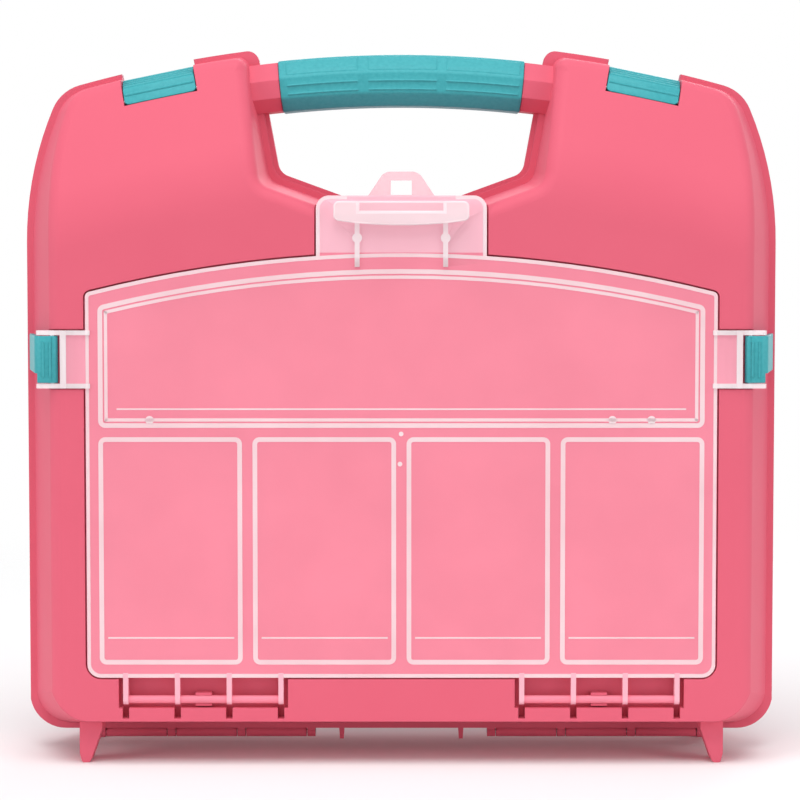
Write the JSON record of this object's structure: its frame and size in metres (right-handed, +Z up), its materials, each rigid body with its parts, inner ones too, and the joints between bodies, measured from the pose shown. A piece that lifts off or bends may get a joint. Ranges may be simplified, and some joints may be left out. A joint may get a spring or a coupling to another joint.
{
  "type": "compartment carry case",
  "caption": "Clamshell carry case with a compartment tray under a translucent flip lid, an arched handle with grip covers, and pivoting top latches and side clips.",
  "frame": {"origin": "middle of the footprint on the floor plane under the parting plane of the two halves", "axes": "+X to the right of someone facing the lid, +Y to the back panel, +Z up towards the handle"},
  "size_m": [0.33, 0.092, 0.3087],
  "materials": {
    "pink_shell": "satin moulded polypropylene",
    "frosted_lid": "frosted translucent polypropylene",
    "teal_fittings": "satin moulded polypropylene",
    "steel_pins": "drawn wire"
  },
  "bodies": {
    "back": {"back_shell": "pink_shell", "grip_back": "teal_fittings", "hinge_pin_left": "steel_pins", "hinge_pin_right": "steel_pins"},
    "front": {"front_shell": "pink_shell", "grip_front": "teal_fittings", "latch_pin_left": "steel_pins", "latch_pin_right": "steel_pins"},
    "lid": {"compartment_lid": "frosted_lid", "clip_pin_left": "steel_pins", "clip_pin_right": "steel_pins"},
    "latch_left": {"latch_left": "teal_fittings"},
    "latch_right": {"latch_right": "teal_fittings"},
    "clip_left": {"clip_left": "teal_fittings"},
    "clip_right": {"clip_right": "teal_fittings"}
  },
  "joints": [
    {"name": "case_opening", "type": "hinge", "parent": "back", "child": "front", "pos_m": [0, 0, 0.0071], "axis": [1, 0, 0], "range_deg": [0, 110]},
    {"name": "lid_opening", "type": "hinge", "parent": "front", "child": "lid", "pos_m": [0, -0.04, 0.0285], "axis": [1, 0, 0], "range_deg": [0, 135]},
    {"name": "latch_left_turn", "type": "hinge", "parent": "front", "child": "latch_left", "pos_m": [-0.10417, -0.01758, 0.28836], "axis": [0.9794, 0, 0.2019], "range_deg": [0, 90]},
    {"name": "latch_right_turn", "type": "hinge", "parent": "front", "child": "latch_right", "pos_m": [0.10417, -0.01758, 0.28836], "axis": [0.9794, 0, -0.2019], "range_deg": [0, 90]},
    {"name": "clip_left_turn", "type": "hinge", "parent": "lid", "child": "clip_left", "pos_m": [-0.1488, -0.041, 0.175], "axis": [0, 0, 1], "range_deg": [0, 90]},
    {"name": "clip_right_turn", "type": "hinge", "parent": "lid", "child": "clip_right", "pos_m": [0.1488, -0.041, 0.175], "axis": [0, 0, -1], "range_deg": [0, 90]}
  ]
}
